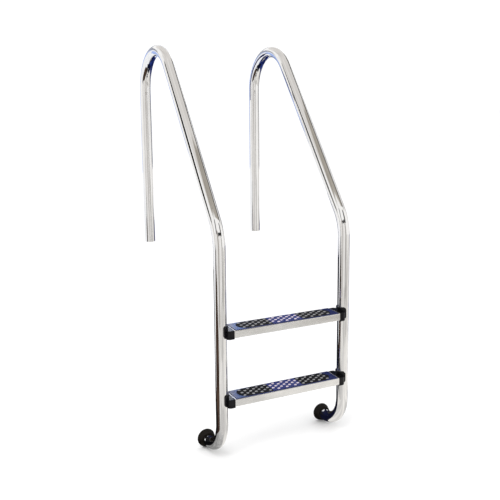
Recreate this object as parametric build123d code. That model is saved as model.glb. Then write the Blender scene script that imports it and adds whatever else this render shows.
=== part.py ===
from build123d import *
import os

# Two-step stainless pool ladder, in millimetres.
# Origin: halfway between the lower ends of the two deck-anchor legs.
# +X runs across the ladder, +Y from the pool towards the deck, +Z up.

# Rails
TUBE_DIAMETER = 43.0
TUBE_WALL = 1.5
RAIL_SPACING = 500.0           # between the two tube centre lines
ANCHOR_LEG = 625.0             # straight part that goes down into the deck socket
BEND_RADIUS = 160.0            # top arch and lower bend, at the centre line
LEAN_ANGLE = 38.0              # of the sloping handrail, from the vertical
HANDRAIL_RUN = 668.0           # straight sloping part
POOL_LEG = 624.0               # straight part that carries the steps
HOOK_RADIUS = 118.0            # bend that brings the foot to the pool wall
HOOK_TAIL = 15.0               # straight end that takes the bumper's plug

# Steps, measured from the rail's centre line and from the tread surface
STEP_PITCH = 250.0
UPPER_TREAD_BELOW_BEND = 276.0
TREAD_FRONT = 37.0
TREAD_BACK = 41.0
CHANNEL_HALF_LENGTH = 213.5
CHANNEL_TOP = -2.0
SKIRT_BOTTOM = -29.0
SHEET = 1.2
SKIRT_RETURN = 9.0
SKIRT_RADIUS = 3.0

# Tread cover, its two grip pads and the inlay between them
COVER_END_INSET = 5.0
COVER_EDGE_INSET = 1.2
COVER_ROUNDING = 0.8
RECESS_DEPTH = 1.2
PAD_END_BORDER = 20.0
PAD_EDGE_BORDER = 5.0
PAD_THICKNESS = 1.6
INLAY_LENGTH = 119.0
FIT_GAP = 0.15
OVAL_PITCH = 34.0
OVAL_LENGTH = 11.0
OVAL_WIDTH = 8.4
OVAL_HEIGHT = 1.2
OVAL_ROWS = 5
OVAL_ROW_PITCH = 12.0
OVAL_COLUMNS = 8               # each side of the middle, before those off the pad are dropped
AREA_SLACK = 1e-3              # in square millimetres, when testing that an oval fits whole

# End caps
CAP_FRONT = 37.5
CAP_BOTTOM = -33.0
CAP_TOP = -1.5
CAP_REACH = 240.0              # how far out the body of the cap goes
CAP_CORNER = 12.0
SADDLE_THICKNESS = 4.5
SADDLE_TOP = 13.0
SADDLE_BOTTOM = -30.0
SADDLE_SETBACK = 1.5           # its free edges stop short of the tube's centre plane
SADDLE_CORNER = 10.0
TONGUE_LENGTH = 32.0
TONGUE_BOTTOM = -25.0
TONGUE_WALL = 3.0
TONGUE_GAP = 0.3

# Step bolts, M8 x 30, from inside the step into a threaded insert in the rail's inner wall
BOLT_BELOW_TREAD = 15.0
BOLT_DIAMETER = 8.0
BOLT_LENGTH = 30.0
BOLT_HOLE = 8.6
HEAD_FLATS = 13.0
HEAD_HEIGHT = 5.3
HEAD_CHAMFER = 0.5
WASHER_DIAMETER = 16.0
WASHER_THICKNESS = 1.6
INSERT_DIAMETER = 11.0
INSERT_LENGTH = 13.0
INSERT_BORE = 8.1
INSERT_HOLE = 11.2
COLLAR_DIAMETER = 13.5
COLLAR_LENGTH = 3.0
COLLAR_START = 2.2             # from the insert's outer end
INSERT_SETBACK = 0.6           # of its outer end, from the tube's outermost line

# Wall bumpers
BUMPER_DIAMETER = 68.0
BUMPER_BACK_DIAMETER = 54.0
BUMPER_FRONT = 22.0            # ahead of the tube's end
BUMPER_COLLAR = 6.0            # back over the outside of the tube
BUMPER_LAND = 6.0              # straight part behind the front face
BUMPER_ROUNDING = 5.0
PLUG_LENGTH = 14.0
PLUG_CHAMFER = 2.0

TUBE_RADIUS = TUBE_DIAMETER / 2
BORE_RADIUS = TUBE_RADIUS - TUBE_WALL
HALF_SPACING = RAIL_SPACING / 2
TREAD_DEPTH = TREAD_FRONT + TREAD_BACK
TREAD_MIDDLE = (TREAD_BACK - TREAD_FRONT) / 2
SKIRT_HEIGHT = CHANNEL_TOP - SKIRT_BOTTOM
COVER_HALF_LENGTH = CHANNEL_HALF_LENGTH - COVER_END_INSET
COVER_DEPTH = TREAD_DEPTH - 2 * COVER_EDGE_INSET
RECESS_LENGTH = 2 * (COVER_HALF_LENGTH - PAD_END_BORDER)
RECESS_WIDTH = TREAD_DEPTH - 2 * PAD_EDGE_BORDER
WALL_FACE = CHANNEL_HALF_LENGTH - FIT_GAP    # inner face of the cap's end wall
SIDES = {"left": -1, "right": 1}


def rail_path():
    """Centre line of one rail in the YZ plane, from the anchor leg's end to the hook's end."""
    with BuildLine(Plane.YZ) as path:
        anchor = Line((0, 0), (0, ANCHOR_LEG))
        arch = JernArc(anchor @ 1, anchor % 1, BEND_RADIUS, 180 - LEAN_ANGLE)
        handrail = Line(arch @ 1, arch @ 1 + (arch % 1) * HANDRAIL_RUN)
        bend = JernArc(handrail @ 1, handrail % 1, BEND_RADIUS, LEAN_ANGLE)
        leg = Line(bend @ 1, bend @ 1 + (bend % 1) * POOL_LEG)
        hook = JernArc(leg @ 1, leg % 1, HOOK_RADIUS, 90)
        tail = Line(hook @ 1, hook @ 1 + (hook % 1) * HOOK_TAIL)
    return path.wire(), leg @ 0, tail @ 1


RAIL_PATH, LEG_TOP, HOOK_END = rail_path()
UPPER_TREAD = LEG_TOP.Z - UPPER_TREAD_BELOW_BEND
TREAD_HEIGHTS = {"upper": UPPER_TREAD, "lower": UPPER_TREAD - STEP_PITCH}


def across(x, y, z):
    """A place with its local Z along the ladder's X."""
    return Location((x, y, z), (0, 90, 0))


def rail():
    """Right-hand bent tube at X = 0, with a hole for an insert in its inner wall at each step."""
    section = Circle(TUBE_RADIUS) - Circle(BORE_RADIUS)
    body = sweep(section, path=RAIL_PATH)
    for height in TREAD_HEIGHTS.values():
        place = across(-TUBE_RADIUS, LEG_TOP.Y, height - BOLT_BELOW_TREAD)
        body -= place * Cylinder(INSERT_HOLE / 2, TUBE_RADIUS)
    return body


def wall_bumper():
    """Rubber cup over the hook's end, with a plug inside the tube, at X = 0."""
    face, back = BUMPER_DIAMETER / 2, BUMPER_BACK_DIAMETER / 2
    plug, socket = BORE_RADIUS - FIT_GAP, TUBE_RADIUS + FIT_GAP
    outline = Polyline(
        (0, -PLUG_LENGTH),
        (plug - PLUG_CHAMFER, -PLUG_LENGTH),
        (plug, PLUG_CHAMFER - PLUG_LENGTH),
        (plug, FIT_GAP),
        (socket, FIT_GAP),
        (socket, -BUMPER_COLLAR),
        (back, -BUMPER_COLLAR),
        (face, BUMPER_FRONT - BUMPER_LAND),
        (face, BUMPER_FRONT),
        (0, BUMPER_FRONT),
        close=True,
    )
    cup = revolve(make_face(outline), axis=Axis.Y)
    rim = cup.edges().filter_by(GeomType.CIRCLE).group_by(Axis.Y)[-1]
    return Pos(0, HOOK_END.Y, HOOK_END.Z) * fillet(rim, BUMPER_ROUNDING)


def step_channel():
    """Folded sheet: top plate, rounded front and back skirts and returned lower edges."""
    centre = Pos(TREAD_MIDDLE, (CHANNEL_TOP + SKIRT_BOTTOM) / 2)
    outer = RectangleRounded(TREAD_DEPTH, SKIRT_HEIGHT, SKIRT_RADIUS)
    inner = RectangleRounded(
        TREAD_DEPTH - 2 * SHEET, SKIRT_HEIGHT - 2 * SHEET, SKIRT_RADIUS - SHEET
    )
    mouth = Pos(0, -SKIRT_HEIGHT / 2) * Rectangle(TREAD_DEPTH - 2 * SKIRT_RETURN, SKIRT_HEIGHT / 2)
    profile = Plane.YZ * centre * (outer - inner - mouth)
    return Pos(-CHANNEL_HALF_LENGTH, 0, 0) * extrude(profile, 2 * CHANNEL_HALF_LENGTH, dir=(1, 0, 0))


def tread_cover():
    """Plastic plate on the channel, with a recess that has round ends."""
    plate = Pos(0, TREAD_MIDDLE, CHANNEL_TOP / 2) * Box(2 * COVER_HALF_LENGTH, COVER_DEPTH, -CHANNEL_TOP)
    plate = fillet(plate.faces().sort_by(Axis.Z)[-1].edges(), COVER_ROUNDING)
    recess = SlotOverall(RECESS_LENGTH, RECESS_WIDTH)
    return plate - Pos(0, TREAD_MIDDLE, -RECESS_DEPTH) * extrude(recess, 2 * RECESS_DEPTH)


def oval_places():
    """Centres of the raised ovals, in rows that are staggered by half a pitch."""
    places = []
    for row in range(OVAL_ROWS):
        y = (row - (OVAL_ROWS - 1) / 2) * OVAL_ROW_PITCH
        for column in range(-OVAL_COLUMNS, OVAL_COLUMNS + 1):
            places.append(((column + (row % 2) / 2) * OVAL_PITCH, y))
    return places


def pad_surface(outline):
    """A pad of this outline in the cover's recess, with every oval that fits whole on it."""
    pad = extrude(outline, PAD_THICKNESS)
    for x, y in oval_places():
        oval = Pos(x, y) * SlotOverall(OVAL_LENGTH, OVAL_WIDTH)
        if abs((oval & outline).area - oval.area) < AREA_SLACK:
            pad += Pos(0, 0, PAD_THICKNESS) * extrude(oval, OVAL_HEIGHT)
    return Pos(0, TREAD_MIDDLE, -RECESS_DEPTH) * pad


def grip_pad():
    """Right-hand pad: round at its outer end, square where it meets the inlay."""
    whole = SlotOverall(RECESS_LENGTH - 2 * FIT_GAP, RECESS_WIDTH - 2 * FIT_GAP)
    start = INLAY_LENGTH / 2 + FIT_GAP
    side = Pos(start + RECESS_LENGTH / 2, 0) * Rectangle(RECESS_LENGTH, 2 * RECESS_WIDTH)
    return pad_surface(whole & side)


def centre_inlay():
    """Coloured middle of the tread, between the two pads."""
    return pad_surface(Rectangle(INLAY_LENGTH, RECESS_WIDTH - 2 * FIT_GAP))


def cap_body():
    """Block between the step and the rail, with its outer corners rounded."""
    inner = CHANNEL_HALF_LENGTH + FIT_GAP
    length, depth = CAP_REACH - inner, CAP_FRONT + TREAD_BACK
    block = Pos((inner + CAP_REACH) / 2, (TREAD_BACK - CAP_FRONT) / 2, (CAP_TOP + CAP_BOTTOM) / 2)
    block *= Box(length, depth, CAP_TOP - CAP_BOTTOM)
    corners = block.edges().filter_by(Axis.Z).group_by(Axis.X)[-1]
    return fillet(corners, CAP_CORNER)


def cap_saddle():
    """Half sleeve round the inner side of the tube, with round corners at its free edges."""
    radius = TUBE_RADIUS + FIT_GAP + SADDLE_THICKNESS
    height = SADDLE_TOP - SADDLE_BOTTOM
    middle = (SADDLE_TOP + SADDLE_BOTTOM) / 2
    edge = HALF_SPACING - SADDLE_SETBACK
    front_view = Plane.XZ * Pos(edge - radius, middle) * RectangleRounded(2 * radius, height, SADDLE_CORNER)
    return Pos(HALF_SPACING, 0, middle) * Cylinder(radius, height) & extrude(
        front_view, 2 * radius, both=True
    )


def cap_tongue():
    """Hollow tongue, open below, that plugs into the channel."""
    inner = CHANNEL_HALF_LENGTH - TONGUE_LENGTH
    top = CHANNEL_TOP - SHEET - TONGUE_GAP
    depth = TREAD_DEPTH - 2 * (SHEET + TONGUE_GAP)
    length = TONGUE_LENGTH + 2 * FIT_GAP
    middle = inner + length / 2
    tongue = Pos(middle, TREAD_MIDDLE, (top + TONGUE_BOTTOM) / 2)
    tongue *= Box(length, depth, top - TONGUE_BOTTOM)
    tongue = chamfer(tongue.edges().filter_by(Axis.X), SKIRT_RADIUS - SHEET)
    hollow = Pos(middle - FIT_GAP, TREAD_MIDDLE, (top + TONGUE_BOTTOM) / 2 - TONGUE_WALL)
    return tongue - hollow * Box(length, depth - 2 * TONGUE_WALL, top - TONGUE_BOTTOM)


def end_cap():
    """Moulded cap that joins the right-hand end of a step to its rail."""
    cap = cap_body() + cap_saddle() + cap_tongue()
    cap -= Pos(HALF_SPACING, 0, 0) * Cylinder(TUBE_RADIUS + FIT_GAP, 4 * TUBE_DIAMETER)
    return cap - across(HALF_SPACING, 0, -BOLT_BELOW_TREAD) * Cylinder(BOLT_HOLE / 2, RAIL_SPACING / 2)


def bolt_line(x):
    """A place on the right-hand bolt's axis, with local Z pointing towards the rail."""
    return across(x, 0, -BOLT_BELOW_TREAD)


def washer():
    """Flat washer on the inner face of the cap's end wall."""
    ring = Circle(WASHER_DIAMETER / 2) - Circle(BOLT_HOLE / 2)
    return bolt_line(WALL_FACE) * extrude(ring, -WASHER_THICKNESS)


def step_bolt():
    """Hexagon-head bolt, with the head inside the step."""
    seat = bolt_line(WALL_FACE - WASHER_THICKNESS)
    hexagon = extrude(RegularPolygon(HEAD_FLATS / 2, 6, major_radius=False), -HEAD_HEIGHT)
    head = chamfer(hexagon.faces().sort_by(Axis.Z)[0].edges(), HEAD_CHAMFER)
    shank = Pos(0, 0, BOLT_LENGTH / 2) * Cylinder(BOLT_DIAMETER / 2, BOLT_LENGTH)
    return seat * (head + shank)


def threaded_insert():
    """Sleeve in the rail's inner wall, with a collar behind the wall."""
    outer_end = bolt_line(HALF_SPACING - TUBE_RADIUS + INSERT_SETBACK)
    sleeve = extrude(Circle(INSERT_DIAMETER / 2), INSERT_LENGTH)
    sleeve += Pos(0, 0, COLLAR_START) * extrude(Circle(COLLAR_DIAMETER / 2), COLLAR_LENGTH)
    return outer_end * (sleeve - extrude(Circle(INSERT_BORE / 2), INSERT_LENGTH))


def step_parts():
    """The pieces of one step, by name, and the pieces at its right-hand end."""
    middle = {"step_channel": step_channel(), "tread_cover": tread_cover(), "centre_inlay": centre_inlay()}
    end = {
        "grip_pad": grip_pad(),
        "end_cap": end_cap(),
        "bolt_washer": washer(),
        "step_bolt": step_bolt(),
        "threaded_insert": threaded_insert(),
    }
    return middle, end


def on_side(shape, sign):
    """The right-hand shape itself, or its mirror image for the left-hand side."""
    return shape if sign > 0 else mirror(shape, about=Plane.YZ)


def main():
    os.makedirs("parts", exist_ok=True)
    nodes = {}
    for side, sign in SIDES.items():
        place = Pos(sign * HALF_SPACING, 0, 0)
        nodes[f"rail_{side}"] = place * on_side(rail(), sign)
        nodes[f"wall_bumper_{side}"] = place * wall_bumper()
    middle, end = step_parts()
    for level, height in TREAD_HEIGHTS.items():
        place = Pos(0, LEG_TOP.Y, height)
        for name, shape in middle.items():
            nodes[f"{level}_{name}"] = place * shape
        for name, shape in end.items():
            for side, sign in SIDES.items():
                nodes[f"{level}_{name}_{side}"] = place * on_side(shape, sign)
    for name, shape in nodes.items():
        export_step(shape, f"parts/{name}.step")


main()
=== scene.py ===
"""Two-step stainless pool ladder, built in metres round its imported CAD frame.

The pool is towards -Y, its wall towards +Y, and the rails stand at -X and +X.
"""

import math
from collections import namedtuple

import bmesh
import bpy
from mathutils import Matrix, Vector


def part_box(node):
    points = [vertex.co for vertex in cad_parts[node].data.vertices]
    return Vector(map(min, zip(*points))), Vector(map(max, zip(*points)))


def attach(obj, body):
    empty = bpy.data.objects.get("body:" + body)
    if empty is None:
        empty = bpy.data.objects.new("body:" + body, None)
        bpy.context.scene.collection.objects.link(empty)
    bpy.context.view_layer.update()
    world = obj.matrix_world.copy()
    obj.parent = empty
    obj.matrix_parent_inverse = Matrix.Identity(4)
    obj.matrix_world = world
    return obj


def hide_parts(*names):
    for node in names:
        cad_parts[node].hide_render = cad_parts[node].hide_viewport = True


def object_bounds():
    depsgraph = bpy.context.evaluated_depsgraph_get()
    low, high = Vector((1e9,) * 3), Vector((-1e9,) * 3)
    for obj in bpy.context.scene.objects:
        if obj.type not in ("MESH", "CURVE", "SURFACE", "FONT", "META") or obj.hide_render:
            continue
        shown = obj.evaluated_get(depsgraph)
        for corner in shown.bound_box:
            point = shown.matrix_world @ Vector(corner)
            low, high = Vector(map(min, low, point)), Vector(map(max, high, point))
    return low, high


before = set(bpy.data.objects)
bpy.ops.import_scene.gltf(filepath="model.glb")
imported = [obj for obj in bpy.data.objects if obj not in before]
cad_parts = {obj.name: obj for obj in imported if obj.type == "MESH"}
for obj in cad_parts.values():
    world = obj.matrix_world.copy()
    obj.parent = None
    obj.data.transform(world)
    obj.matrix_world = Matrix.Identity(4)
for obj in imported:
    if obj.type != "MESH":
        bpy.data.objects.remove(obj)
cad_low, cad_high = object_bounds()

MM = 0.001
SIDES = {"left": -1, "right": 1}
LEVELS = ("upper", "lower")

# Rails: the CAD tube's bends and runs, a hair under its radius to stay in its coarser mesh's box
TUBE_RADIUS = 21.38 * MM
TUBE_BORE = 20.0 * MM
TUBE_RIM = 0.3 * MM
ANCHOR_LEG = 625 * MM
BEND_RADIUS = 160 * MM
LEAN_ANGLE = math.radians(38)
HANDRAIL_RUN = 668 * MM
POOL_LEG = 624 * MM
HOOK_RADIUS = 118 * MM
HOOK_TAIL = 15 * MM
STRAIGHT_UP = math.pi / 2
STRAIGHT_DOWN = 1.5 * math.pi
RING_POINTS = 96
BEND_STEP = math.radians(2)
RUN_STEP = 40 * MM

# Bumpers, measured from the hook's end
BUMPER_RADIUS = 34 * MM
BUMPER_BACK_RADIUS = 27 * MM
BUMPER_FRONT = 22 * MM
BUMPER_COLLAR = 6 * MM
BUMPER_LAND = 6 * MM
BUMPER_ROUNDING = 5 * MM
BUMPER_SHOULDER = 4 * MM
BUMPER_LIP = 1.2 * MM
BUMPER_SOCKET = 21.65 * MM
BUMPER_PLUG = 19.85 * MM
BUMPER_PLUG_LENGTH = 14 * MM
BUMPER_PLUG_CHAMFER = 2 * MM
BUMPER_DISH = 1.2 * MM
BUMPER_DISH_SLOPE = 4 * MM
BUMPER_DISH_CORE = 2 * MM
BUMPER_BACK_DEGREES = -17

# Steps, measured from the rail's centre line and the tread surface
TREAD_FRONT = -37 * MM
TREAD_BACK = 41 * MM
TREAD_MIDDLE = (TREAD_FRONT + TREAD_BACK) / 2
CHANNEL_END = 213.5 * MM
CHANNEL_TOP = -2 * MM
SKIRT_BOTTOM = -29 * MM
SHEET = 1.2 * MM
SHEET_EDGE = 0.25 * MM
SKIRT_RADIUS = 3 * MM
SKIRT_RETURN = 9 * MM
FOLD_STEPS = 6

COVER_END = 208.5 * MM
COVER_INSET = 1.2 * MM
COVER_CORNER = 1.2 * MM
COVER_ROUNDING = 0.8 * MM
RECESS_END = 188.5 * MM
RECESS_HALF_WIDTH = 34 * MM
RECESS_FLOOR = -1.2 * MM
RECESS_EDGE = 0.25 * MM
PAD_TOP = 0.4 * MM
PAD_ROUNDING = 0.35 * MM
PAD_SQUARE_CORNER = 0.6 * MM
INLAY_END = 59.5 * MM
FIT_GAP = 0.15 * MM

OVAL_PITCH = 34 * MM
OVAL_ROW_PITCH = 12 * MM
OVAL_ROWS = 5
OVAL_COLUMNS = 8
OVAL_HALF_LENGTH = 5.5 * MM
OVAL_HALF_WIDTH = 4.2 * MM
OVAL_HEIGHT = 1.2 * MM
OVAL_ROOT = 0.3 * MM
OVAL_RIM = 0.5 * MM
OVAL_DISH = 0.35 * MM
OVAL_STEPS = 6
OVAL_TEST_POINTS = 24

# End caps
HALF_SPACING = 250 * MM
CAP_INNER = CHANNEL_END + FIT_GAP
CAP_OUTER = 240 * MM
CAP_FRONT = -37.5 * MM
CAP_BACK = 41 * MM
CAP_TOP = -1.5 * MM
CAP_BOTTOM = -33 * MM
CAP_CORNER = 12 * MM
CAP_INNER_CORNER = 1.0 * MM
CAP_ROUNDING = 2.2 * MM
CAP_GROOVE_HEIGHT = -23.5 * MM
CAP_GROOVE = 1.0 * MM
CAP_BORE = 21.65 * MM
CAP_BORE_LENGTH = 120 * MM
SADDLE_RADIUS = CAP_BORE + 4.5 * MM
SADDLE_CORE = 17 * MM
SADDLE_TOP = 13 * MM
SADDLE_BOTTOM = -30 * MM
SADDLE_SETBACK = 1.5 * MM
SADDLE_CORNER = 10 * MM
SADDLE_ROUNDING = 1.4 * MM
SADDLE_CORE_CORNER = 0.2 * MM
SADDLE_SHRINK = 0.7
SADDLE_SHRINK_STEPS = 3
SADDLE_STEPS = 60
SADDLE_EDGE_STEPS = 6
TONGUE_LENGTH = 32 * MM
TONGUE_BOTTOM = -25 * MM
TONGUE_WALL = 3 * MM
TONGUE_ROOT = 3 * MM
TONGUE_CORNER = 0.8 * MM
TONGUE_GAP = 0.3 * MM
HOLLOW_ROUNDING = 1 * MM
CUT_ASIDE = 1 * MM
CUT_BELOW = 4 * MM
BOLT_HEIGHT = -15 * MM
BOLT_HOLE = 4.3 * MM
BOLT_HOLE_LENGTH = 60 * MM

# Mesh fineness
CORNER_STEPS = 10
ROUNDING_STEPS = 4
ROUND_SIDES = 96
DRUM_SIDES = 128
SMALLEST_CORNER = 0.02 * MM
NEARLY_ROUND = 0.01 * MM
SMOOTH_BELOW = math.radians(40)
BEVEL_ABOVE = math.radians(60)

# Camera
CAMERA_PLACE = (-1.2564, -3.0251, 0.6474)
CAMERA_TARGET = (-0.0597, -0.5813, 0.1642)
CAMERA_LENS = 54.45
CAMERA_SENSOR = 36
CAMERA_SHIFT = -0.06
CAMERA_ROLL = math.radians(-0.52)

# Studio
FLOOR_HALF = 30
SKY_STRENGTH = 1.08
KEY_PLACE = (-2.2, -2.6, 3.0)
KEY_TARGET = (0, -0.4, 0)
KEY_POWER = 60
KEY_SIZE = 2.0
GROUND_DROP = 0.05
CURTAIN_TOP = 0.66
CEILING = 3.0

# The parts of a noise value's range that materials and cards spread over
CLOUD_RANGE = (0.3, 0.7)
GLOW_RANGE = (0.38, 0.62)


# ---------------------------------------------------------------- mesh tools


def finish_piece(name, mesh, materials, nodes, place=(0, 0, 0)):
    """Links a finished mesh as a piece that stands for these CAD nodes."""
    mesh.name = name
    for polygon in mesh.polygons:
        polygon.use_smooth = True
    mesh.set_sharp_from_angle(angle=SMOOTH_BELOW)
    for material in materials:
        mesh.materials.append(material)
    piece = bpy.data.objects.new(name, mesh)
    piece.location = place
    bpy.context.scene.collection.objects.link(piece)
    normals = piece.modifiers.new("face normals", "WEIGHTED_NORMAL")
    normals.keep_sharp = True
    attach(piece, "root")
    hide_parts(*nodes)
    return piece


def to_mesh(work):
    """A mesh from a bmesh, with its faces turned outwards."""
    bmesh.ops.recalc_face_normals(work, faces=work.faces)
    mesh = bpy.data.meshes.new("work")
    work.to_mesh(mesh)
    work.free()
    return mesh


def loft(work, loops, material=0, closed=False):
    """Joins loops that have the same number of points, and closes the two ends unless they join up."""
    rings = [[work.verts.new(point) for point in loop] for loop in loops]
    count = len(rings[0])
    pairs = list(zip(rings, rings[1:]))
    if closed:
        pairs.append((rings[-1], rings[0]))
    faces = []
    for lower, upper in pairs:
        for i in range(count):
            j = (i + 1) % count
            faces.append(work.faces.new((lower[i], lower[j], upper[j], upper[i])))
    if not closed:
        faces.append(work.faces.new(list(reversed(rings[0]))))
        faces.append(work.faces.new(rings[-1]))
    for face in faces:
        face.material_index = material
    return faces


def arc(centre, radius, start, end, steps=8):
    """Points of an arc about a centre, with its angles in degrees."""
    points = []
    for step in range(steps + 1):
        angle = math.radians(start + (end - start) * step / steps)
        points.append((centre[0] + radius * math.cos(angle), centre[1] + radius * math.sin(angle)))
    return points


def rounded_outline(box, radii, height, inset=0.0, steps=CORNER_STEPS):
    """A level rectangle (x0, x1, y0, y1) with four corner radii, from the front right one round."""
    x0, x1, y0, y1 = box[0] + inset, box[1] - inset, box[2] + inset, box[3] - inset
    corners = ((x1, y0, -1, 1), (x1, y1, -1, -1), (x0, y1, 1, -1), (x0, y0, 1, 1))
    points = []
    for quarter, ((x, y, to_x, to_y), radius) in enumerate(zip(corners, radii)):
        reach = max(radius - inset, SMALLEST_CORNER)
        centre = Vector((x + to_x * reach, y + to_y * reach))
        for step in range(steps + 1):
            angle = math.pi / 2 * (quarter - 1 + step / steps)
            edge_x = centre.x + reach * math.cos(angle)
            edge_y = centre.y + reach * math.sin(angle)
            points.append((edge_x, edge_y, height))
    return points


def rounding(radius):
    """Pairs (inset, drop) that go round an edge, from its side to its top."""
    pairs = []
    for step in range(ROUNDING_STEPS + 1):
        angle = math.pi / 2 * step / ROUNDING_STEPS
        pairs.append((radius * (1 - math.cos(angle)), radius * (1 - math.sin(angle))))
    return pairs


def plate_loops(box, radii, bottom, top, round_top):
    """Loops of a plate with a rounded upper edge, from the bottom up."""
    loops = [rounded_outline(box, radii, bottom)]
    for inset, drop in rounding(round_top):
        loops.append(rounded_outline(box, radii, top - drop, inset))
    return loops


def temporary(mesh):
    """An object that only lives while a boolean is worked out."""
    piece = bpy.data.objects.new("temporary", mesh)
    bpy.context.scene.collection.objects.link(piece)
    return piece


def combined(mesh, steps):
    """The mesh after exact booleans with (operation, mesh) steps."""
    base = temporary(mesh)
    others = []
    for operation, other in steps:
        tool = temporary(other)
        others.append(tool)
        modifier = base.modifiers.new(operation, "BOOLEAN")
        modifier.operation = operation
        modifier.solver = "EXACT"
        modifier.object = tool
    graph = bpy.context.evaluated_depsgraph_get()
    made = bpy.data.meshes.new_from_object(base.evaluated_get(graph))
    for piece in [base, *others]:
        bpy.data.objects.remove(piece)
    return made


def drum(radius, centre, length, axis):
    """A closed many-sided drum along X or Z, for cutting holes."""
    work = bmesh.new()
    turn = Matrix.Rotation(math.pi / 2, 4, "Y") if axis == "X" else Matrix.Identity(4)
    bmesh.ops.create_cone(
        work,
        cap_ends=True,
        segments=DRUM_SIDES,
        radius1=radius,
        radius2=radius,
        depth=length,
        matrix=Matrix.Translation(centre) @ turn,
    )
    return to_mesh(work)


def mirrored(mesh):
    """The same mesh on the other side of X = 0."""
    work = bmesh.new()
    work.from_mesh(mesh)
    bmesh.ops.scale(work, vec=(-1, 1, 1), verts=work.verts)
    bmesh.ops.reverse_faces(work, faces=work.faces)
    return to_mesh(work)


# ---------------------------------------------------------------- materials


class NodeMaterial:
    """A node material and a few short-hands for its tree."""

    def __init__(self, name):
        self.material = bpy.data.materials.new(name)
        self.material.use_nodes = True
        self.tree = self.material.node_tree

    def add(self, kind, **values):
        """A new node with these settings."""
        node = self.tree.nodes.new(kind)
        for name, value in values.items():
            setattr(node, name, value)
        return node

    def link(self, output, target):
        """Joins an output to an input."""
        self.tree.links.new(output, target)

    def coordinates(self, scale, attribute=None):
        """Coordinates of the object, or from an attribute, stretched by a scale for each axis."""
        if attribute:
            source = self.add("ShaderNodeAttribute", attribute_name=attribute).outputs["Vector"]
        else:
            source = self.add("ShaderNodeTexCoord").outputs["Object"]
        mapping = self.add("ShaderNodeMapping")
        mapping.inputs["Scale"].default_value = scale
        self.link(source, mapping.inputs["Vector"])
        return mapping.outputs["Vector"]

    def noise(self, scale, detail=3.0, roughness=0.5, attribute=None):
        """A noise value with this many waves per metre along each axis."""
        node = self.add("ShaderNodeTexNoise")
        node.inputs["Scale"].default_value = 1.0
        node.inputs["Detail"].default_value = detail
        node.inputs["Roughness"].default_value = roughness
        self.link(self.coordinates(scale, attribute), node.inputs["Vector"])
        return node.outputs["Fac"]

    def tones(self, value, limits, dark, light):
        """A colour between two tones as a value goes between its limits."""
        node = self.add("ShaderNodeValToRGB")
        for element, place, tone in zip(node.color_ramp.elements, limits, (dark, light)):
            element.position = place
            element.color = (*tone, 1)
        self.link(value, node.inputs["Fac"])
        return node.outputs["Color"]


class Surface(NodeMaterial):
    """A Principled material whose colour, roughness and bump follow noise values."""

    def __init__(self, name, colour, metallic, roughness):
        super().__init__(name)
        self.shader = self.tree.nodes["Principled BSDF"]
        self.shader.inputs["Base Color"].default_value = (*colour, 1)
        self.shader.inputs["Metallic"].default_value = metallic
        self.shader.inputs["Roughness"].default_value = roughness
        self.material.diffuse_color = (*colour, 1)

    def tint(self, value, dark, light):
        """Sets the base colour between two tones."""
        self.link(self.tones(value, CLOUD_RANGE, dark, light), self.shader.inputs["Base Color"])

    def roughen(self, value, low, high):
        """Sets the roughness between two limits."""
        node = self.add("ShaderNodeMapRange")
        names = ("From Min", "From Max", "To Min", "To Max")
        for name, number in zip(names, (*CLOUD_RANGE, low, high)):
            node.inputs[name].default_value = number
        self.link(value, node.inputs["Value"])
        self.link(node.outputs["Result"], self.shader.inputs["Roughness"])

    def bump(self, heights):
        """Chains (height value, distance in metres) pairs into the normal."""
        normal = None
        for value, distance in heights:
            node = self.add("ShaderNodeBump")
            node.inputs["Distance"].default_value = distance
            self.link(value, node.inputs["Height"])
            if normal is not None:
                self.link(normal, node.inputs["Normal"])
            normal = node.outputs["Normal"]
        self.link(normal, self.shader.inputs["Normal"])


def polished_steel():
    """Mirror-polished tube: faint long polishing lines, slight waviness and finger-mark haze."""
    made = Surface("polished_steel", (0.80, 0.79, 0.77), 1.0, 0.05)
    lines = made.noise((900, 900, 14), 4.0, 0.6, "tube_coord")
    haze = made.noise((22, 22, 9), 4.0, 0.55, "tube_coord")
    waves = made.noise((26, 26, 11), 1.0, 0.4, "tube_coord")
    made.tint(haze, (0.76, 0.75, 0.735), (0.84, 0.83, 0.815))
    made.roughen(haze, 0.035, 0.10)
    made.bump([(waves, 0.00016), (lines, 0.0000035)])
    return made.material


def folded_sheet():
    """Stainless sheet of the step, with a fine grain along its length."""
    made = Surface("step_sheet", (0.78, 0.775, 0.76), 1.0, 0.2)
    grain = made.noise((9, 1500, 1500), 5.0, 0.65)
    haze = made.noise((14, 30, 30), 3.0, 0.5)
    made.shader.inputs["Anisotropic"].default_value = 0.35
    made.tint(haze, (0.72, 0.71, 0.69), (0.82, 0.81, 0.79))
    made.roughen(grain, 0.16, 0.30)
    made.bump([(haze, 0.00010), (grain, 0.000006)])
    return made.material


def fastener_steel():
    """Machined stainless of bolts, washers and threaded inserts."""
    made = Surface("fastener_steel", (0.62, 0.62, 0.61), 1.0, 0.28)
    turned = made.noise((2500, 700, 700), 4.0, 0.6)
    stain = made.noise((160, 160, 160), 3.0, 0.5)
    made.tint(stain, (0.50, 0.49, 0.48), (0.68, 0.68, 0.67))
    made.roughen(turned, 0.20, 0.42)
    made.bump([(turned, 0.000012)])
    return made.material


def gloss_plastic(name, dark, light, low, high, specular):
    """Glossy injection-moulded plastic with faint orange peel and wipe marks."""
    made = Surface(name, light, 0.0, low)
    made.shader.inputs["Specular IOR Level"].default_value = specular
    cloud = made.noise((35, 60, 60), 4.0, 0.55)
    skin = made.noise((700, 700, 700), 2.0, 0.5)
    made.tint(cloud, dark, light)
    made.roughen(cloud, low, high)
    made.bump([(skin, 0.00002)])
    return made.material


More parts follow.
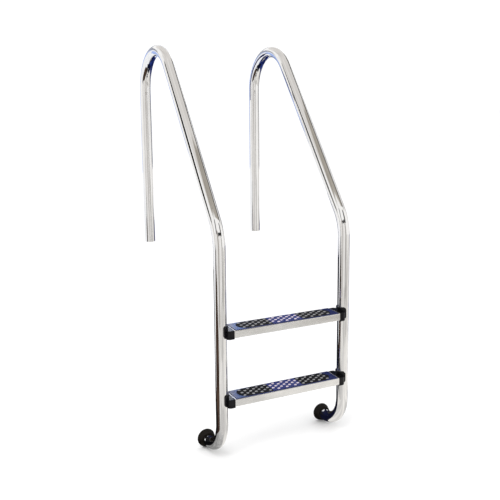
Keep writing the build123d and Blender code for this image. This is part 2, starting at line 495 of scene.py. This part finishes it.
def grained_plastic(name, dark, light, low, high, specular, pitch, depth):
    """Matt moulded plastic or rubber, pebbled at a pitch per metre and a depth."""
    made = Surface(name, light, 0.0, high)
    made.shader.inputs["Specular IOR Level"].default_value = specular
    cells = made.add("ShaderNodeTexVoronoi", feature="SMOOTH_F1")
    cells.inputs["Scale"].default_value = 1.0
    made.link(made.coordinates((pitch, pitch, pitch)), cells.inputs["Vector"])
    cloud = made.noise((60, 90, 90), 5.0, 0.6)
    grit = made.noise((2600, 2600, 2600), 2.0, 0.5)
    made.tint(cloud, dark, light)
    made.roughen(cloud, low, high)
    made.bump([(cells.outputs["Distance"], depth), (grit, depth / 6)])
    return made.material


POLISHED = polished_steel()
SHEET_STEEL = folded_sheet()
FASTENER = fastener_steel()
COVER_BLUE = gloss_plastic("cover_blue", (0.010, 0.016, 0.075), (0.016, 0.025, 0.105), 0.10, 0.2, 0.45)
PAD_BLACK = grained_plastic(
    "pad_black", (0.003, 0.003, 0.004), (0.008, 0.008, 0.009), 0.36, 0.5, 0.05, 900, 0.00012
)
OVAL_GREY = gloss_plastic("oval_grey", (0.20, 0.20, 0.21), (0.34, 0.34, 0.35), 0.22, 0.36, 0.5)
# Painted sheen: the inlay's brighter blue and its pale ovals are lit copies of the pad's black and grey
# ovals, standing in for a light reflected on the middle of the tread.
INLAY_SHEEN_BLUE = gloss_plastic("inlay_sheen_blue", (0.012, 0.020, 0.13), (0.022, 0.036, 0.19), 0.18, 0.3, 0.45)
OVAL_SHEEN_PALE = gloss_plastic("oval_sheen_pale", (0.60, 0.50, 0.58), (0.78, 0.70, 0.76), 0.25, 0.4, 0.5)
CAP_BLACK = gloss_plastic("cap_black", (0.002, 0.002, 0.003), (0.005, 0.005, 0.006), 0.10, 0.20, 0.20)
RUBBER = grained_plastic(
    "bumper_rubber", (0.004, 0.003, 0.002), (0.011, 0.008, 0.006), 0.42, 0.6, 0.10, 700, 0.0001
)


# ---------------------------------------------------------------- rails


Station = namedtuple("Station", "y z heading length")


def rail_stations():
    """Places along a rail's centre line, from the anchor leg's end to the hook's end."""
    y, z, heading, length = 0.0, 0.0, STRAIGHT_UP, 0.0
    stations = [Station(y, z, heading, length)]
    runs = (
        (ANCHOR_LEG, 0),
        (BEND_RADIUS, math.pi - LEAN_ANGLE),
        (HANDRAIL_RUN, 0),
        (BEND_RADIUS, LEAN_ANGLE),
        (POOL_LEG, 0),
        (HOOK_RADIUS, math.pi / 2),
        (HOOK_TAIL, 0),
    )
    for size, turn in runs:
        steps = max(1, round(turn / BEND_STEP if turn else size / RUN_STEP))
        start = Station(y, z, heading, length)
        for step in range(1, steps + 1):
            part = step / steps
            if turn:
                heading = start.heading + turn * part
                y = start.y + size * (math.sin(heading) - math.sin(start.heading))
                z = start.z - size * (math.cos(heading) - math.cos(start.heading))
                length = start.length + size * turn * part
            else:
                y = start.y + size * part * math.cos(heading)
                z = start.z + size * part * math.sin(heading)
                length = start.length + size * part
            stations.append(Station(y, z, heading, length))
    return stations


STATIONS = rail_stations()
HOOK_END = STATIONS[-1]
LEG_TOP = next(station for station in STATIONS if math.isclose(station.heading, STRAIGHT_DOWN))


def ring_angles(count):
    """Evenly spaced angles of a full turn."""
    return [2 * math.pi * i / count for i in range(count)]


def tube_ring(x, station, radius, along=0.0):
    """One ring of points round a station, moved a little along the tube if asked."""
    heading = station.heading
    y, z = station.y + along * math.cos(heading), station.z + along * math.sin(heading)
    points = []
    for angle in ring_angles(RING_POINTS):
        across, up = radius * math.cos(angle), radius * math.sin(angle)
        points.append((x + across, y - up * math.sin(heading), z + up * math.cos(heading)))
    return points


def rail_mesh(x):
    """Hollow bent tube with rounded rims; its straightened coordinates go into an attribute."""
    first, last = STATIONS[0], STATIONS[-1]
    rings = [(first, TUBE_BORE + TUBE_RIM, 0.0), (first, TUBE_RADIUS - TUBE_RIM, 0.0)]
    rings.append((first, TUBE_RADIUS, TUBE_RIM))
    rings += [(station, TUBE_RADIUS, 0.0) for station in STATIONS[1:-1]]
    rings += [(last, TUBE_RADIUS, -TUBE_RIM), (last, TUBE_RADIUS - TUBE_RIM, 0.0)]
    rings += [(last, TUBE_BORE + TUBE_RIM, 0.0), (last, TUBE_BORE, -TUBE_RIM)]
    rings += [(station, TUBE_BORE, 0.0) for station in reversed(STATIONS[1:-1])]
    rings.append((first, TUBE_BORE, TUBE_RIM))
    work = bmesh.new()
    loft(work, [tube_ring(x, *ring) for ring in rings], closed=True)
    mesh = to_mesh(work)
    straight = mesh.attributes.new("tube_coord", "FLOAT_VECTOR", "POINT")
    values = []
    for station, radius, along in rings:
        for angle in ring_angles(RING_POINTS):
            values += [radius * math.cos(angle), radius * math.sin(angle), station.length + along]
    straight.data.foreach_set("vector", values)
    return mesh


def build_rails():
    """Both bent tubes, each in the middle of its CAD rail."""
    for side in SIDES:
        low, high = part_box(f"rail_{side}")
        x = (low.x + high.x) / 2
        finish_piece(f"tube_{side}", rail_mesh(x), [POLISHED], [f"rail_{side}"])


# ---------------------------------------------------------------- bumpers


def bumper_outline():
    """Half section (distance from the axis, distance past the tube's end), from the plug to the face."""
    corner = (BUMPER_RADIUS - BUMPER_ROUNDING, BUMPER_FRONT - BUMPER_ROUNDING)
    shoulder = (BUMPER_RADIUS - BUMPER_SHOULDER, BUMPER_FRONT - BUMPER_LAND)
    back = (BUMPER_BACK_RADIUS - BUMPER_LIP, -BUMPER_COLLAR + BUMPER_LIP)
    dish = BUMPER_RADIUS - 2 * BUMPER_ROUNDING
    return [
        (BUMPER_PLUG - BUMPER_PLUG_CHAMFER, -BUMPER_PLUG_LENGTH),
        (BUMPER_PLUG, BUMPER_PLUG_CHAMFER - BUMPER_PLUG_LENGTH),
        (BUMPER_PLUG, FIT_GAP),
        (BUMPER_SOCKET, FIT_GAP),
        (BUMPER_SOCKET, -BUMPER_COLLAR + BUMPER_LIP / 2),
        (BUMPER_SOCKET + BUMPER_LIP / 2, -BUMPER_COLLAR),
        *arc(back, BUMPER_LIP, -90, BUMPER_BACK_DEGREES),
        *arc(shoulder, BUMPER_SHOULDER, BUMPER_BACK_DEGREES, 0, steps=4),
        *arc(corner, BUMPER_ROUNDING, 0, 90),
        (dish, BUMPER_FRONT),
        (dish - BUMPER_DISH_SLOPE, BUMPER_FRONT - BUMPER_DISH / 2),
        (dish / 2, BUMPER_FRONT - BUMPER_DISH),
        (BUMPER_DISH_CORE, BUMPER_FRONT - BUMPER_DISH),
    ]


def bumper_mesh():
    """The bumper's section turned about its axis, which runs along Y."""
    angles = ring_angles(ROUND_SIDES)
    loops = []
    for radius, ahead in bumper_outline():
        loops.append([(radius * math.cos(angle), ahead, radius * math.sin(angle)) for angle in angles])
    work = bmesh.new()
    loft(work, loops)
    return to_mesh(work)


def build_bumpers():
    """Both rubber bumpers, each on its hook's end."""
    for side in SIDES:
        node = f"wall_bumper_{side}"
        low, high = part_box(node)
        place = ((low.x + high.x) / 2, HOOK_END.y, (low.z + high.z) / 2)
        finish_piece(f"bumper_{side}", bumper_mesh(), [RUBBER], [node], place)


# ---------------------------------------------------------------- steps


def channel_mesh():
    """Folded sheet: the outline goes out along its outer face and back along the inner one."""
    outer, inner = [], []
    y_front, y_back = TREAD_FRONT + SKIRT_RADIUS, TREAD_BACK - SKIRT_RADIUS
    z_low, z_high = SKIRT_BOTTOM + SKIRT_RADIUS, CHANNEL_TOP - SKIRT_RADIUS
    corners = ((y_front, z_low, -90), (y_front, z_high, 180), (y_back, z_high, 90), (y_back, z_low, 0))
    for path, radius in ((outer, SKIRT_RADIUS), (inner, SKIRT_RADIUS - SHEET)):
        reach = SKIRT_BOTTOM + SKIRT_RADIUS - radius
        path.append((TREAD_FRONT + SKIRT_RETURN, reach))
        for y, z, start in corners:
            path += arc((y, z), radius, start, start - 90, FOLD_STEPS)
        path.append((TREAD_BACK - SKIRT_RETURN, reach))
    outline = outer + inner[::-1]
    work = bmesh.new()
    loft(work, [[(x, y, z) for y, z in outline] for x in (-CHANNEL_END, CHANNEL_END)])
    bmesh.ops.bevel(
        work,
        geom=[edge for edge in work.edges if edge.calc_face_angle(0) > BEVEL_ABOVE],
        offset=SHEET_EDGE,
        segments=2,
        affect="EDGES",
        profile=0.5,
        clamp_overlap=True,
    )
    return to_mesh(work)


def cover_mesh():
    """Plate with a rounded rim and a recess with round ends."""
    box = (-COVER_END, COVER_END, TREAD_FRONT + COVER_INSET, TREAD_BACK - COVER_INSET)
    recess_front, recess_back = TREAD_MIDDLE - RECESS_HALF_WIDTH, TREAD_MIDDLE + RECESS_HALF_WIDTH
    recess = (-RECESS_END, RECESS_END, recess_front, recess_back)
    recess_corners = [RECESS_HALF_WIDTH - NEARLY_ROUND] * 4
    loops = plate_loops(box, [COVER_CORNER] * 4, CHANNEL_TOP, 0.0, COVER_ROUNDING)
    loops.append(rounded_outline(recess, recess_corners, 0.0, -RECESS_EDGE))
    loops.append(rounded_outline(recess, recess_corners, -RECESS_EDGE, 0.0))
    loops.append(rounded_outline(recess, recess_corners, RECESS_FLOOR, 0.0))
    work = bmesh.new()
    loft(work, loops)
    return to_mesh(work)


def oval_centres():
    """Centres of the raised ovals on a tread, in rows staggered by half a pitch."""
    for row in range(OVAL_ROWS):
        y = TREAD_MIDDLE + (row - (OVAL_ROWS - 1) / 2) * OVAL_ROW_PITCH
        for column in range(-OVAL_COLUMNS, OVAL_COLUMNS + 1):
            yield (column + (row % 2) / 2) * OVAL_PITCH, y


def inside(x, y, box, radii):
    """Whether a point lies within a rounded rectangle."""
    x0, x1, y0, y1 = box
    if not (x0 < x < x1 and y0 < y < y1):
        return False
    front_right, back_right, back_left, front_left = radii
    corners = (
        (x1 - front_right, y0 + front_right, 1, -1, front_right),
        (x1 - back_right, y1 - back_right, 1, 1, back_right),
        (x0 + back_left, y1 - back_left, -1, 1, back_left),
        (x0 + front_left, y0 + front_left, -1, -1, front_left),
    )
    for centre_x, centre_y, to_x, to_y, radius in corners:
        dx, dy = (x - centre_x) * to_x, (y - centre_y) * to_y
        if dx > 0 and dy > 0 and math.hypot(dx, dy) > radius:
            return False
    return True


def oval_fits(x, y, box, radii):
    """Whether a whole oval lies on the pad: its two round ends are tested all round."""
    for end in (-1, 1):
        centre = x + end * (OVAL_HALF_LENGTH - OVAL_HALF_WIDTH)
        for angle in ring_angles(OVAL_TEST_POINTS):
            edge_x = centre + OVAL_HALF_WIDTH * math.cos(angle)
            edge_y = y + OVAL_HALF_WIDTH * math.sin(angle)
            if not inside(edge_x, edge_y, box, radii):
                return False
    return True


def oval_loops(x, y):
    """A raised oval with a flared root, a rounded rim and a shallow dish."""
    box = (x - OVAL_HALF_LENGTH, x + OVAL_HALF_LENGTH, y - OVAL_HALF_WIDTH, y + OVAL_HALF_WIDTH)
    radii = [OVAL_HALF_WIDTH - NEARLY_ROUND] * 4
    top = PAD_TOP + OVAL_HEIGHT
    steps = (
        (0.0, PAD_TOP - OVAL_ROOT),
        (0.0, PAD_TOP),
        (OVAL_ROOT * 0.7, PAD_TOP + OVAL_ROOT),
        (OVAL_ROOT, top - OVAL_RIM),
        (OVAL_ROOT + OVAL_RIM * 0.3, top - OVAL_RIM * 0.3),
        (OVAL_ROOT + OVAL_RIM, top),
        (OVAL_ROOT + OVAL_RIM * 2.0, top - OVAL_DISH * 0.3),
        (OVAL_ROOT + OVAL_RIM * 3.5, top - OVAL_DISH),
    )
    return [rounded_outline(box, radii, height, inset, OVAL_STEPS) for inset, height in steps]


def pad_mesh(start, end, radii):
    """A pad between two places along the recess, with every oval that fits whole on it.

    The ovals carry the second material.
    """
    half = RECESS_HALF_WIDTH - FIT_GAP
    box = (start, end, TREAD_MIDDLE - half, TREAD_MIDDLE + half)
    work = bmesh.new()
    loft(work, plate_loops(box, radii, RECESS_FLOOR, PAD_TOP, PAD_ROUNDING))
    for x, y in oval_centres():
        if oval_fits(x, y, box, radii):
            loft(work, oval_loops(x, y), material=1)
    return to_mesh(work)


def grip_pad_mesh():
    """Right-hand pad: round outer end, square end at the inlay."""
    round_corner = RECESS_HALF_WIDTH - FIT_GAP - NEARLY_ROUND
    radii = (round_corner, round_corner, PAD_SQUARE_CORNER, PAD_SQUARE_CORNER)
    return pad_mesh(INLAY_END + FIT_GAP, RECESS_END - FIT_GAP, radii)


def inlay_mesh():
    """Middle inlay, square at both ends."""
    return pad_mesh(-INLAY_END, INLAY_END, [PAD_SQUARE_CORNER] * 4)


def cap_block():
    """Moulded block beside the rail, with a groove above its lower lip."""
    box = (CAP_INNER, CAP_OUTER, CAP_FRONT, CAP_BACK)
    radii = (CAP_CORNER, CAP_CORNER, CAP_INNER_CORNER, CAP_INNER_CORNER)
    half = CAP_GROOVE
    groove = ((0.0, -half), (0.4 * half, -0.4 * half), (half, 0.0), (0.0, 0.3 * half))
    loops = []
    for inset, drop in reversed(rounding(CAP_ROUNDING)):
        loops.append(rounded_outline(box, radii, CAP_BOTTOM + drop, inset))
    for inset, height in groove:
        loops.append(rounded_outline(box, radii, CAP_GROOVE_HEIGHT + height, inset))
    for inset, drop in rounding(CAP_ROUNDING):
        loops.append(rounded_outline(box, radii, CAP_TOP - drop, inset))
    work = bmesh.new()
    loft(work, loops)
    return to_mesh(work)


def saddle_section(turn, shrink):
    """Section of the half sleeve at a turn from the step's direction, lower near its free edges."""
    reach = SADDLE_RADIUS * math.cos(turn) - SADDLE_SETBACK
    short = max(0.0, SADDLE_CORNER - reach)
    lowered = SADDLE_CORNER - math.sqrt(max(0.0, SADDLE_CORNER**2 - short**2))
    box = (SADDLE_CORE, SADDLE_RADIUS, SADDLE_BOTTOM + lowered, SADDLE_TOP - lowered)
    radii = (SADDLE_ROUNDING, SADDLE_ROUNDING, SADDLE_CORE_CORNER, SADDLE_CORE_CORNER)
    points = []
    for radius, height, _ in rounded_outline(box, radii, 0.0, shrink, SADDLE_EDGE_STEPS):
        points.append((HALF_SPACING - radius * math.cos(turn), radius * math.sin(turn), height))
    return points


def cap_saddle():
    """Half sleeve round the inner side of the tube, with rounded corners and edges."""
    limit = math.acos(SADDLE_SETBACK / SADDLE_RADIUS)
    loops = []
    for step in range(SADDLE_STEPS + 1):
        turn = limit * math.sin(math.pi * (step / SADDLE_STEPS - 0.5))
        near_end = min(step, SADDLE_STEPS - step)
        shrink = max(0.0, SADDLE_ROUNDING * (1 - near_end / SADDLE_SHRINK_STEPS)) * SADDLE_SHRINK
        loops.append(saddle_section(turn, shrink))
    work = bmesh.new()
    loft(work, loops)
    return to_mesh(work)


def cap_tongue():
    """Hollow tongue, open below, inside the channel."""
    start = CHANNEL_END - TONGUE_LENGTH
    end = CAP_INNER + TONGUE_ROOT
    clear = SHEET + TONGUE_GAP
    top = CHANNEL_TOP - clear
    box = (start, end, TREAD_FRONT + clear, TREAD_BACK - clear)
    hollow = (start - CUT_ASIDE, end - TONGUE_ROOT, box[2] + TONGUE_WALL, box[3] - TONGUE_WALL)
    corners = [TONGUE_CORNER] * 4
    solid = bmesh.new()
    loft(solid, plate_loops(box, corners, TONGUE_BOTTOM, top, SKIRT_RADIUS - SHEET))
    cut = bmesh.new()
    below, ceiling = TONGUE_BOTTOM - CUT_BELOW, top - TONGUE_WALL
    loft(cut, plate_loops(hollow, corners, below, ceiling, HOLLOW_ROUNDING))
    return combined(to_mesh(solid), [("DIFFERENCE", to_mesh(cut))])


def cap_mesh():
    """Right-hand end cap: block, sleeve and tongue in one moulding, bored for the tube and the bolt."""
    bore = drum(CAP_BORE, (HALF_SPACING, 0, 0), CAP_BORE_LENGTH, "Z")
    hole_middle = (HALF_SPACING - BOLT_HOLE_LENGTH / 2, 0, BOLT_HEIGHT)
    hole = drum(BOLT_HOLE, hole_middle, BOLT_HOLE_LENGTH, "X")
    return combined(
        cap_block(),
        [("UNION", cap_saddle()), ("UNION", cap_tongue()), ("DIFFERENCE", bore), ("DIFFERENCE", hole)],
    )


def build_step(level):
    """All the pieces of one step, placed by the CAD channel."""
    low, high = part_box(f"{level}_step_channel")
    place = ((low.x + high.x) / 2, LEG_TOP.y, high.z - CHANNEL_TOP)

    def add(name, mesh, materials, node):
        """Finishes one piece of this step."""
        finish_piece(f"{level}_{name}", mesh, materials, [f"{level}_{node}"], place)

    add("channel", channel_mesh(), [SHEET_STEEL], "step_channel")
    add("cover", cover_mesh(), [COVER_BLUE], "tread_cover")
    # The inlay takes the painted-sheen copies of the pad's materials, a lighter blue and pale ovals.
    add("inlay", inlay_mesh(), [INLAY_SHEEN_BLUE, OVAL_SHEEN_PALE], "centre_inlay")
    pad, cap = grip_pad_mesh(), cap_mesh()
    for side, sign in SIDES.items():
        side_pad = pad if sign > 0 else mirrored(pad)
        side_cap = cap if sign > 0 else mirrored(cap)
        add(f"pad_{side}", side_pad, [PAD_BLACK, OVAL_GREY], f"grip_pad_{side}")
        add(f"cap_{side}", side_cap, [CAP_BLACK], f"end_cap_{side}")


def paint_fasteners():
    """The CAD bolts, washers and inserts keep their shape and get the machined steel."""
    for level in LEVELS:
        for side in SIDES:
            for part in ("bolt_washer", "step_bolt", "threaded_insert"):
                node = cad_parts[f"{level}_{part}_{side}"]
                for slot in node.material_slots:
                    slot.link = "OBJECT"
                    slot.material = FASTENER


# ---------------------------------------------------------------- studio


# Tones of the cards
BLACK = (0.004, 0.004, 0.005)
SOFT_BLACK = (0.012, 0.012, 0.014)
NAVY = (0.006, 0.007, 0.022)
SOFT_NAVY = (0.010, 0.012, 0.04)
DARK_BLUE = (0.008, 0.014, 0.08)
BLUE = (0.02, 0.04, 0.22)
DARK_BROWN = (0.03, 0.018, 0.014)
BROWN = (0.11, 0.07, 0.05)
GREY = (0.60, 0.59, 0.58)
LIGHT_GREY = (0.74, 0.73, 0.72)


def floor_material():
    """Pale matt studio floor with a trace of mottling."""
    made = Surface("floor", (0.96, 0.96, 0.96), 0.0, 0.9)
    cloud = made.noise((2, 2, 2), 3.0, 0.5)
    made.tint(cloud, (0.955, 0.955, 0.955), (0.965, 0.965, 0.965))
    return made.material


def glow_material(name, dark, light, grain):
    """Uneven glow of a studio card, between two colours, with clouds of this many per metre."""
    made = NodeMaterial(name)
    made.tree.nodes.remove(made.tree.nodes["Principled BSDF"])
    glow = made.add("ShaderNodeEmission")
    cloud = made.noise(grain, 2.0, 0.5)
    made.link(made.tones(cloud, GLOW_RANGE, dark, light), glow.inputs["Color"])
    made.link(glow.outputs["Emission"], made.tree.nodes["Material Output"].inputs["Surface"])
    return made.material


def stage_sheet(name, corners, material):
    """A flat sheet through these corners that is part of the studio."""
    work = bmesh.new()
    work.faces.new([work.verts.new(corner) for corner in corners])
    mesh = bpy.data.meshes.new(name)
    work.to_mesh(mesh)
    work.free()
    mesh.materials.append(material)
    sheet = bpy.data.objects.new(name, mesh)
    bpy.context.scene.collection.objects.link(sheet)
    return sheet


def card(name, corners, dark, light, grain=(1, 1, 1)):
    """Glowing flat card through these corners, which only reflections see."""
    sheet = stage_sheet(name, corners, glow_material(name, dark, light, grain))
    for ray in ("visible_camera", "visible_diffuse", "visible_transmission", "visible_shadow"):
        setattr(sheet, ray, False)


def level_card(name, outline, height, dark, light, grain=(1, 1, 1)):
    """Level card over a plan outline at a height."""
    card(name, [(x, y, height) for x, y in outline], dark, light, grain)


def upright_card(name, start, end, foot, top, dark, light, grain=(1, 1, 1)):
    """Upright card between two plan places, from its foot to its top."""
    corners = [(*start, foot), (*end, foot), (*end, top), (*start, top)]
    card(name, corners, dark, light, grain)


def plan(x0, x1, y0, y1):
    """Plan outline of a rectangle."""
    return ((x0, y0), (x1, y0), (x1, y1), (x0, y1))


def above_ground(millimetres):
    """A height over the studio's ground, which keeps cards that overlap apart."""
    return cad_low.z - GROUND_DROP + millimetres * MM


def build_ground_cards():
    """Ground: pale in front and behind, blue behind the rails, brown to their left."""
    pale, white = (0.95, 0.94, 0.91), (1.10, 1.08, 1.05)
    level_card("ground_front", plan(-4, 6, -3.1, -0.45), above_ground(0), GREY, pale, (5, 0.7, 1))
    level_card("ground_near", plan(-4, 6, -1.9, -0.45), above_ground(5), LIGHT_GREY, white, (7, 0.8, 1))
    cool, cool_white = (0.98, 1.01, 1.06), (1.16, 1.17, 1.20)
    level_card("ground_back", plan(-8, 6, -0.45, 9), above_ground(0), cool, cool_white, (2, 2, 1))
    blue = ((-0.45, -0.2), (6.0, -0.2), (3.0, 3.3), (-0.45, 3.3))
    level_card("ground_blue", blue, above_ground(10), DARK_BLUE, BLUE)
    brown = ((-0.42, -0.4), (-1.4, 0.2), (-5.0, 0.1), (-5.0, -1.4), (-1.6, -1.45), (-0.5, -0.82))
    level_card("ground_brown", brown, above_ground(20), DARK_BROWN, BROWN, (3, 3, 1))


def build_foot_cards():
    """Round the hooks: grey ground with shade in four steps, dark ground under the tails, dark low walls."""
    near = ((-0.70, -1.32), (0.0, -1.32), (-0.12, -0.92), (-0.23, -0.75), (-0.23, -0.2), (-0.45, -0.2))
    level_card("near_foot", near, above_ground(12), GREY, LIGHT_GREY, (30, 30, 1))
    shadows = ((-0.84, -0.21, 0.56), (-0.76, -0.235, 0.44), (-0.69, -0.25, 0.35), (-0.62, -0.26, 0.27))
    for number, (front, side, shade) in enumerate(shadows):
        dark, light = (shade * 0.8,) * 3, (shade * 1.2,) * 3
        outline, height = plan(-0.45, side, front, -0.2), above_ground(30 + 2 * number)
        level_card(f"foot_shadow_{number}", outline, height, dark, light, (40, 40, 1))
    level_card("low_black_foot", plan(-0.7, -0.2, -0.575, 0.1), above_ground(40), BLACK, BLACK)
    navy_foot = ((-0.15, -0.5), (0.10, -0.63), (0.7, -0.63), (0.7, 0.1), (-0.15, 0.1))
    level_card("low_navy_foot", navy_foot, above_ground(40), NAVY, NAVY)
    foot, top = -1.2, -0.17
    upright_card("low_black", (-0.7, 0.1), (-0.2, 0.1), foot, top, BLACK, SOFT_BLACK)
    upright_card("low_navy", (-0.2, 0.1), (0.7, 0.1), foot, top, NAVY, SOFT_NAVY)


def build_side_cards():
    """Dark panels to the left and right, and a navy one between the rails, behind the anchor legs."""
    upright_card("gap_navy", (-0.12, 0.15), (0.10, 0.15), 0.58, 0.71, DARK_BLUE, BLUE, (9, 9, 9))
    left_low, left_high = (0.001, 0.001, 0.001), (0.01, 0.01, 0.01)
    upright_card("left_dark", (-2.95, -0.15), (-2.75, 1.05), 0.75, 2.6, left_low, left_high)
    right = [(1.9, -1.3, 1.20), (1.9, 1.1, 1.80), (1.9, 1.1, 2.50), (1.9, -1.3, 2.00)]
    card("right_dark", right, (0.002, 0.002, 0.002), (0.03, 0.03, 0.03))


def build_back_cards():
    """Behind the ladder: blue sky, two bright panels for the caps and covers, grey above, navy right."""
    sky, light_sky = (0.30, 0.42, 0.80), (0.48, 0.62, 1.05)
    upright_card("back_sky", (-1.2, 2.6), (1.42, 2.6), 0.0, 1.15, sky, light_sky)
    bright, brightest = (2.9, 2.8, 2.7), (3.2, 3.1, 3.0)
    upright_card("back_bright", (0.98, 2.4), (1.22, 2.4), 0.80, 1.20, bright, brightest)
    blue, bright_blue = (0.8, 1.25, 2.4), (1.0, 1.5, 2.7)
    upright_card("back_blue", (1.22, 2.4), (1.36, 2.4), 0.80, 1.20, blue, bright_blue)
    grey, light_grey = (0.28, 0.30, 0.36), (0.50, 0.52, 0.58)
    upright_card("back_grey", (-1.8, 2.7), (1.8, 2.7), 1.15, 1.75, grey, light_grey)
    dark_navy, light_navy = (0.012, 0.016, 0.05), (0.03, 0.04, 0.11)
    upright_card("back_navy", (0.9, 2.9), (3.0, 0.9), 0.0, 1.2, dark_navy, light_navy)


def build_front_cards():
    """In front and at the sides: a pale curtain, grey-brown strips, and a black frame above them."""
    pale, white = (0.80, 0.79, 0.78), (1.08, 1.07, 1.06)
    upright_card("curtain", (-2.6, -0.9), (1.3, -3.0), -0.5, CURTAIN_TOP, pale, white, (6, 6, 0.5))
    strips = (
        ((-1.88, -0.40), (-1.86, -0.66), -0.62, -0.05, 0.06),
        ((-1.88, -0.40), (-1.86, -0.66), -0.05, CURTAIN_TOP, 0.50),
        ((-0.88, -1.36), (-0.62, -1.50), -0.45, CURTAIN_TOP, 0.45),
        ((0.20, -1.80), (0.50, -1.90), -0.45, CURTAIN_TOP, 0.30),
        ((1.70, -0.30), (1.72, 0.10), -0.60, CURTAIN_TOP, 0.50),
        ((0.80, -1.95), (1.00, -1.85), -1.20, 0.0, 0.45),
    )
    for number, (start, end, foot, top, shade) in enumerate(strips):
        tint = (shade, shade * 0.93, shade * 0.87)
        upright_card(f"strip_{number}", start, end, foot, top, tint, tint)
    y, bar_top = -1.9, 0.80
    upright_card("frame_bar", (-1.85, y), (0.90, y), 0.61, bar_top, BLACK, BLACK)
    upright_card("frame_left", (-2.00, y), (-1.30, y), bar_top, 2.5, BLACK, NAVY)
    leaning = [(0.36, y, bar_top), (0.92, y, bar_top), (1.16, y, 1.70), (0.60, y, 1.70)]
    card("frame_right", leaning, BLACK, DARK_BROWN)


def build_ceiling_cards():
    """Ceiling: grey over the ladder, darker in front of it, with white above both."""
    front_edge = ((-2.4, -1.75), (-1.5, -2.00), (0.3, -2.18), (1.8, -2.20), (2.8, -2.0), (3.9, -1.2))
    over = ((-3.6, 1.0), *front_edge, (5.6, 3.4), (1.5, 3.6), (-1.2, 3.6), (-1.35, 2.5), (-1.5, 1.3))
    level_card("ceiling", over, CEILING, (0.72, 0.70, 0.68), (0.92, 0.90, 0.88), (2.5, 0.6, 1))
    front = (*front_edge, (3.9, 0.2), (2.9, -0.5), (1.3, -1.3), (-0.9, -1.6))
    dark, light = (0.34, 0.31, 0.27), (0.56, 0.53, 0.48)
    level_card("ceiling_front", front, CEILING - 0.02, dark, light, (2.5, 0.6, 1))
    white, bright = (0.98, 0.98, 0.99), (1.2, 1.2, 1.2)
    level_card("ceiling_white", plan(-6, 6, -0.6, 8), CEILING + 0.1, white, bright, (1.5, 1.5, 1))


def build_key_lamp():
    """Soft lamp high in front on the left, which reflections don't show."""
    light = bpy.data.lights.new("key", "AREA")
    light.energy = KEY_POWER
    light.size = KEY_SIZE
    lamp = bpy.data.objects.new("key", light)
    lamp.location = KEY_PLACE
    lamp.rotation_euler = (Vector(KEY_TARGET) - lamp.location).to_track_quat("-Z", "Y").to_euler()
    lamp.visible_glossy = False
    bpy.context.scene.collection.objects.link(lamp)


def build_studio():
    """Pale floor, white surroundings, the cards that the tube reflects, and a soft lamp."""
    corners = [(x, y, 0) for x, y in plan(-FLOOR_HALF, FLOOR_HALF, -FLOOR_HALF, FLOOR_HALF)]
    floor = stage_sheet("floor", corners, floor_material())
    floor.location.z = cad_low.z
    floor.visible_glossy = False
    world = bpy.data.worlds.new("studio")
    bpy.context.scene.world = world
    world.use_nodes = True
    sky = world.node_tree.nodes["Background"]
    sky.inputs["Color"].default_value = (1.0, 1.0, 1.0, 1)
    sky.inputs["Strength"].default_value = SKY_STRENGTH
    build_ground_cards()
    build_foot_cards()
    build_side_cards()
    build_back_cards()
    build_front_cards()
    build_ceiling_cards()
    build_key_lamp()


def build_camera():
    """Camera on the pool side, to the left of the ladder, looking a little down."""
    camera = bpy.data.cameras.new("camera")
    camera.lens = CAMERA_LENS
    camera.sensor_width = CAMERA_SENSOR
    camera.shift_y = CAMERA_SHIFT
    rig = bpy.data.objects.new("camera", camera)
    place = Vector(CAMERA_PLACE)
    rig.location = place
    turn = (Vector(CAMERA_TARGET) - place).to_track_quat("-Z", "Y").to_matrix()
    rig.rotation_euler = (turn @ Matrix.Rotation(CAMERA_ROLL, 3, "Z")).to_euler()
    bpy.context.scene.collection.objects.link(rig)
    bpy.context.scene.camera = rig
    bpy.context.scene.view_settings.view_transform = "Standard"


build_rails()
build_bumpers()
for step_level in LEVELS:
    build_step(step_level)
paint_fasteners()
build_studio()
build_camera()
